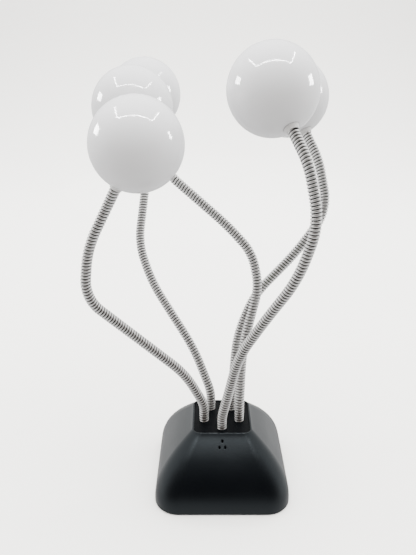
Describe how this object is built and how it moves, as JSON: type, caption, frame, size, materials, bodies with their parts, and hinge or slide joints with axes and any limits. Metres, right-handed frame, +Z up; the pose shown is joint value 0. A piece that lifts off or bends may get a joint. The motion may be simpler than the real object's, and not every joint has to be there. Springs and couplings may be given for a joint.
{
  "type": "gooseneck table lamp",
  "caption": "Table lamp with a black domed base and flexible chrome gooseneck arms that each carry a glossy milky globe; the arms bend by hand and hold where they are put",
  "frame": {"origin": "on the table, under the middle of the base, on the face of the center pad", "axes": "+Z up; -Y is the front, the side with the three sound holes; +X to the right seen from the front"},
  "size_m": [0.2083, 0.2371, 0.3857],
  "materials": {
    "shell_black": "satin moulded, fine grain",
    "plate_black": "fine speckled grain",
    "chrome_tube": "bright spiral tube",
    "globe_white": "milky, glossy",
    "collar_white": "translucent white",
    "rubber_black": "matt",
    "cover_black": "satin",
    "steel": "plain",
    "cast": "rough",
    "button_black": "satin",
    "board_green": "varnished board",
    "board_white": "white varnished board",
    "cell_skin": "printed sleeve",
    "inner_black": "plain",
    "brass": "plain"
  },
  "bodies": {
    "base": {"base_shell": "shell_black", "top_plate": "plate_black", "base_cover": "cover_black", "rubber_feet": "rubber_black", "center_pad": "rubber_black", "cover_screws": "steel", "ballast_weight": "cast", "battery_holder": "inner_black", "battery_cells": "cell_skin", "battery_contacts": "steel", "board_spacers": "inner_black", "control_board": "board_green", "sound_sensor": "steel", "gooseneck_nuts": "brass", "switch_body": "inner_black", "button_spring": "steel", "gooseneck_front_root": "chrome_tube", "gooseneck_left_root": "chrome_tube", "gooseneck_right_root": "chrome_tube", "gooseneck_rear_left_root": "chrome_tube", "gooseneck_rear_right_root": "chrome_tube"},
    "button": {"power_button": "button_black"},
    "front_middle": {"gooseneck_front_middle": "chrome_tube"},
    "front_upper": {"gooseneck_front_upper": "chrome_tube"},
    "front_tip": {"gooseneck_front_tip": "chrome_tube", "globe_collar_front": "collar_white", "light_board_front": "board_white", "globe_front": "globe_white"},
    "left_middle": {"gooseneck_left_middle": "chrome_tube"},
    "left_upper": {"gooseneck_left_upper": "chrome_tube"},
    "left_tip": {"gooseneck_left_tip": "chrome_tube", "globe_collar_left": "collar_white", "light_board_left": "board_white", "globe_left": "globe_white"},
    "right_middle": {"gooseneck_right_middle": "chrome_tube"},
    "right_upper": {"gooseneck_right_upper": "chrome_tube"},
    "right_tip": {"gooseneck_right_tip": "chrome_tube", "globe_collar_right": "collar_white", "light_board_right": "board_white", "globe_right": "globe_white"},
    "rear_left_middle": {"gooseneck_rear_left_middle": "chrome_tube"},
    "rear_left_upper": {"gooseneck_rear_left_upper": "chrome_tube"},
    "rear_left_tip": {"gooseneck_rear_left_tip": "chrome_tube", "globe_collar_rear_left": "collar_white", "light_board_rear_left": "board_white", "globe_rear_left": "globe_white"},
    "rear_right_middle": {"gooseneck_rear_right_middle": "chrome_tube"},
    "rear_right_upper": {"gooseneck_rear_right_upper": "chrome_tube"},
    "rear_right_tip": {"gooseneck_rear_right_tip": "chrome_tube", "globe_collar_rear_right": "collar_white", "light_board_rear_right": "board_white", "globe_rear_right": "globe_white"}
  },
  "joints": [
    {"name": "front_root_bend", "type": "hinge", "parent": "base", "child": "front_middle", "pos_m": [0.0065, -0.0215, 0.1045], "axis": [0, 0.9906, 0.1372], "range_deg": [-5, 25]},
    {"name": "front_middle_bend", "type": "hinge", "parent": "front_middle", "child": "front_upper", "pos_m": [0.044, -0.046, 0.1975], "axis": [-0.8213, -0.4742, 0.3174], "range_deg": [-25, 25]},
    {"name": "front_tip_bend", "type": "hinge", "parent": "front_upper", "child": "front_tip", "pos_m": [0.063, -0.0505, 0.2815], "axis": [-0.8655, -0.4997, -0.0348], "range_deg": [-25, 25]},
    {"name": "left_root_bend", "type": "hinge", "parent": "base", "child": "left_middle", "pos_m": [-0.02467, -0.00775, 0.0945], "axis": [-0.4695, -0.8131, -0.3442], "range_deg": [-25, 25]},
    {"name": "left_middle_bend", "type": "hinge", "parent": "left_middle", "child": "left_upper", "pos_m": [-0.09817, -0.02725, 0.179], "axis": [-0.7586, 0.438, -0.4823], "range_deg": [-25, 25]},
    {"name": "left_tip_bend", "type": "hinge", "parent": "left_upper", "child": "left_tip", "pos_m": [-0.09767, -0.02875, 0.2515], "axis": [0, 0.9887, -0.1498], "range_deg": [-25, 25]},
    {"name": "right_root_bend", "type": "hinge", "parent": "base", "child": "right_middle", "pos_m": [0.01717, -0.00125, 0.104], "axis": [0, -0.9884, 0.1521], "range_deg": [-15, 25]},
    {"name": "right_middle_bend", "type": "hinge", "parent": "right_middle", "child": "right_upper", "pos_m": [0.02917, 0.01875, 0.1995], "axis": [-0.4955, -0.8582, 0.1342], "range_deg": [-15, 25]},
    {"name": "right_tip_bend", "type": "hinge", "parent": "right_upper", "child": "right_tip", "pos_m": [-0.02083, 0.03775, 0.2575], "axis": [0, 0.9509, -0.3096], "range_deg": [-25, 25]},
    {"name": "rear_left_root_bend", "type": "hinge", "parent": "base", "child": "rear_left_middle", "pos_m": [-0.01799, 0.01925, 0.099], "axis": [0.8477, 0.4894, 0.2045], "range_deg": [-25, 0]},
    {"name": "rear_left_middle_bend", "type": "hinge", "parent": "rear_left_middle", "child": "rear_left_upper", "pos_m": [-0.07299, 0.06375, 0.1905], "axis": [0, 0.8552, -0.5183], "range_deg": [-25, 25]},
    {"name": "rear_left_tip_bend", "type": "hinge", "parent": "rear_left_upper", "child": "rear_left_tip", "pos_m": [-0.07349, 0.11175, 0.287], "axis": [-0.9997, 0, -0.025], "range_deg": [0, 25]},
    {"name": "rear_right_root_bend", "type": "hinge", "parent": "base", "child": "rear_right_middle", "pos_m": [0.01199, 0.01775, 0.106], "axis": [0, 0.9892, -0.1466], "range_deg": [-15, 25]},
    {"name": "rear_right_middle_bend", "type": "hinge", "parent": "rear_right_middle", "child": "rear_right_upper", "pos_m": [0.04799, 0.02975, 0.192], "axis": [0.4483, 0.7766, -0.4426], "range_deg": [-25, 25]},
    {"name": "rear_right_tip_bend", "type": "hinge", "parent": "rear_right_upper", "child": "rear_right_tip", "pos_m": [0.08799, 0.04025, 0.2705], "axis": [0, 0.9532, -0.3022], "range_deg": [-25, 25]},
    {"name": "button_push", "type": "slide", "parent": "base", "child": "button", "axis": [0, -1, 0], "range_m": [0, 0.0015], "stiffness_N_per_m": 800, "springref_m": -0.001, "deforming": ["button_spring"]}
  ]
}
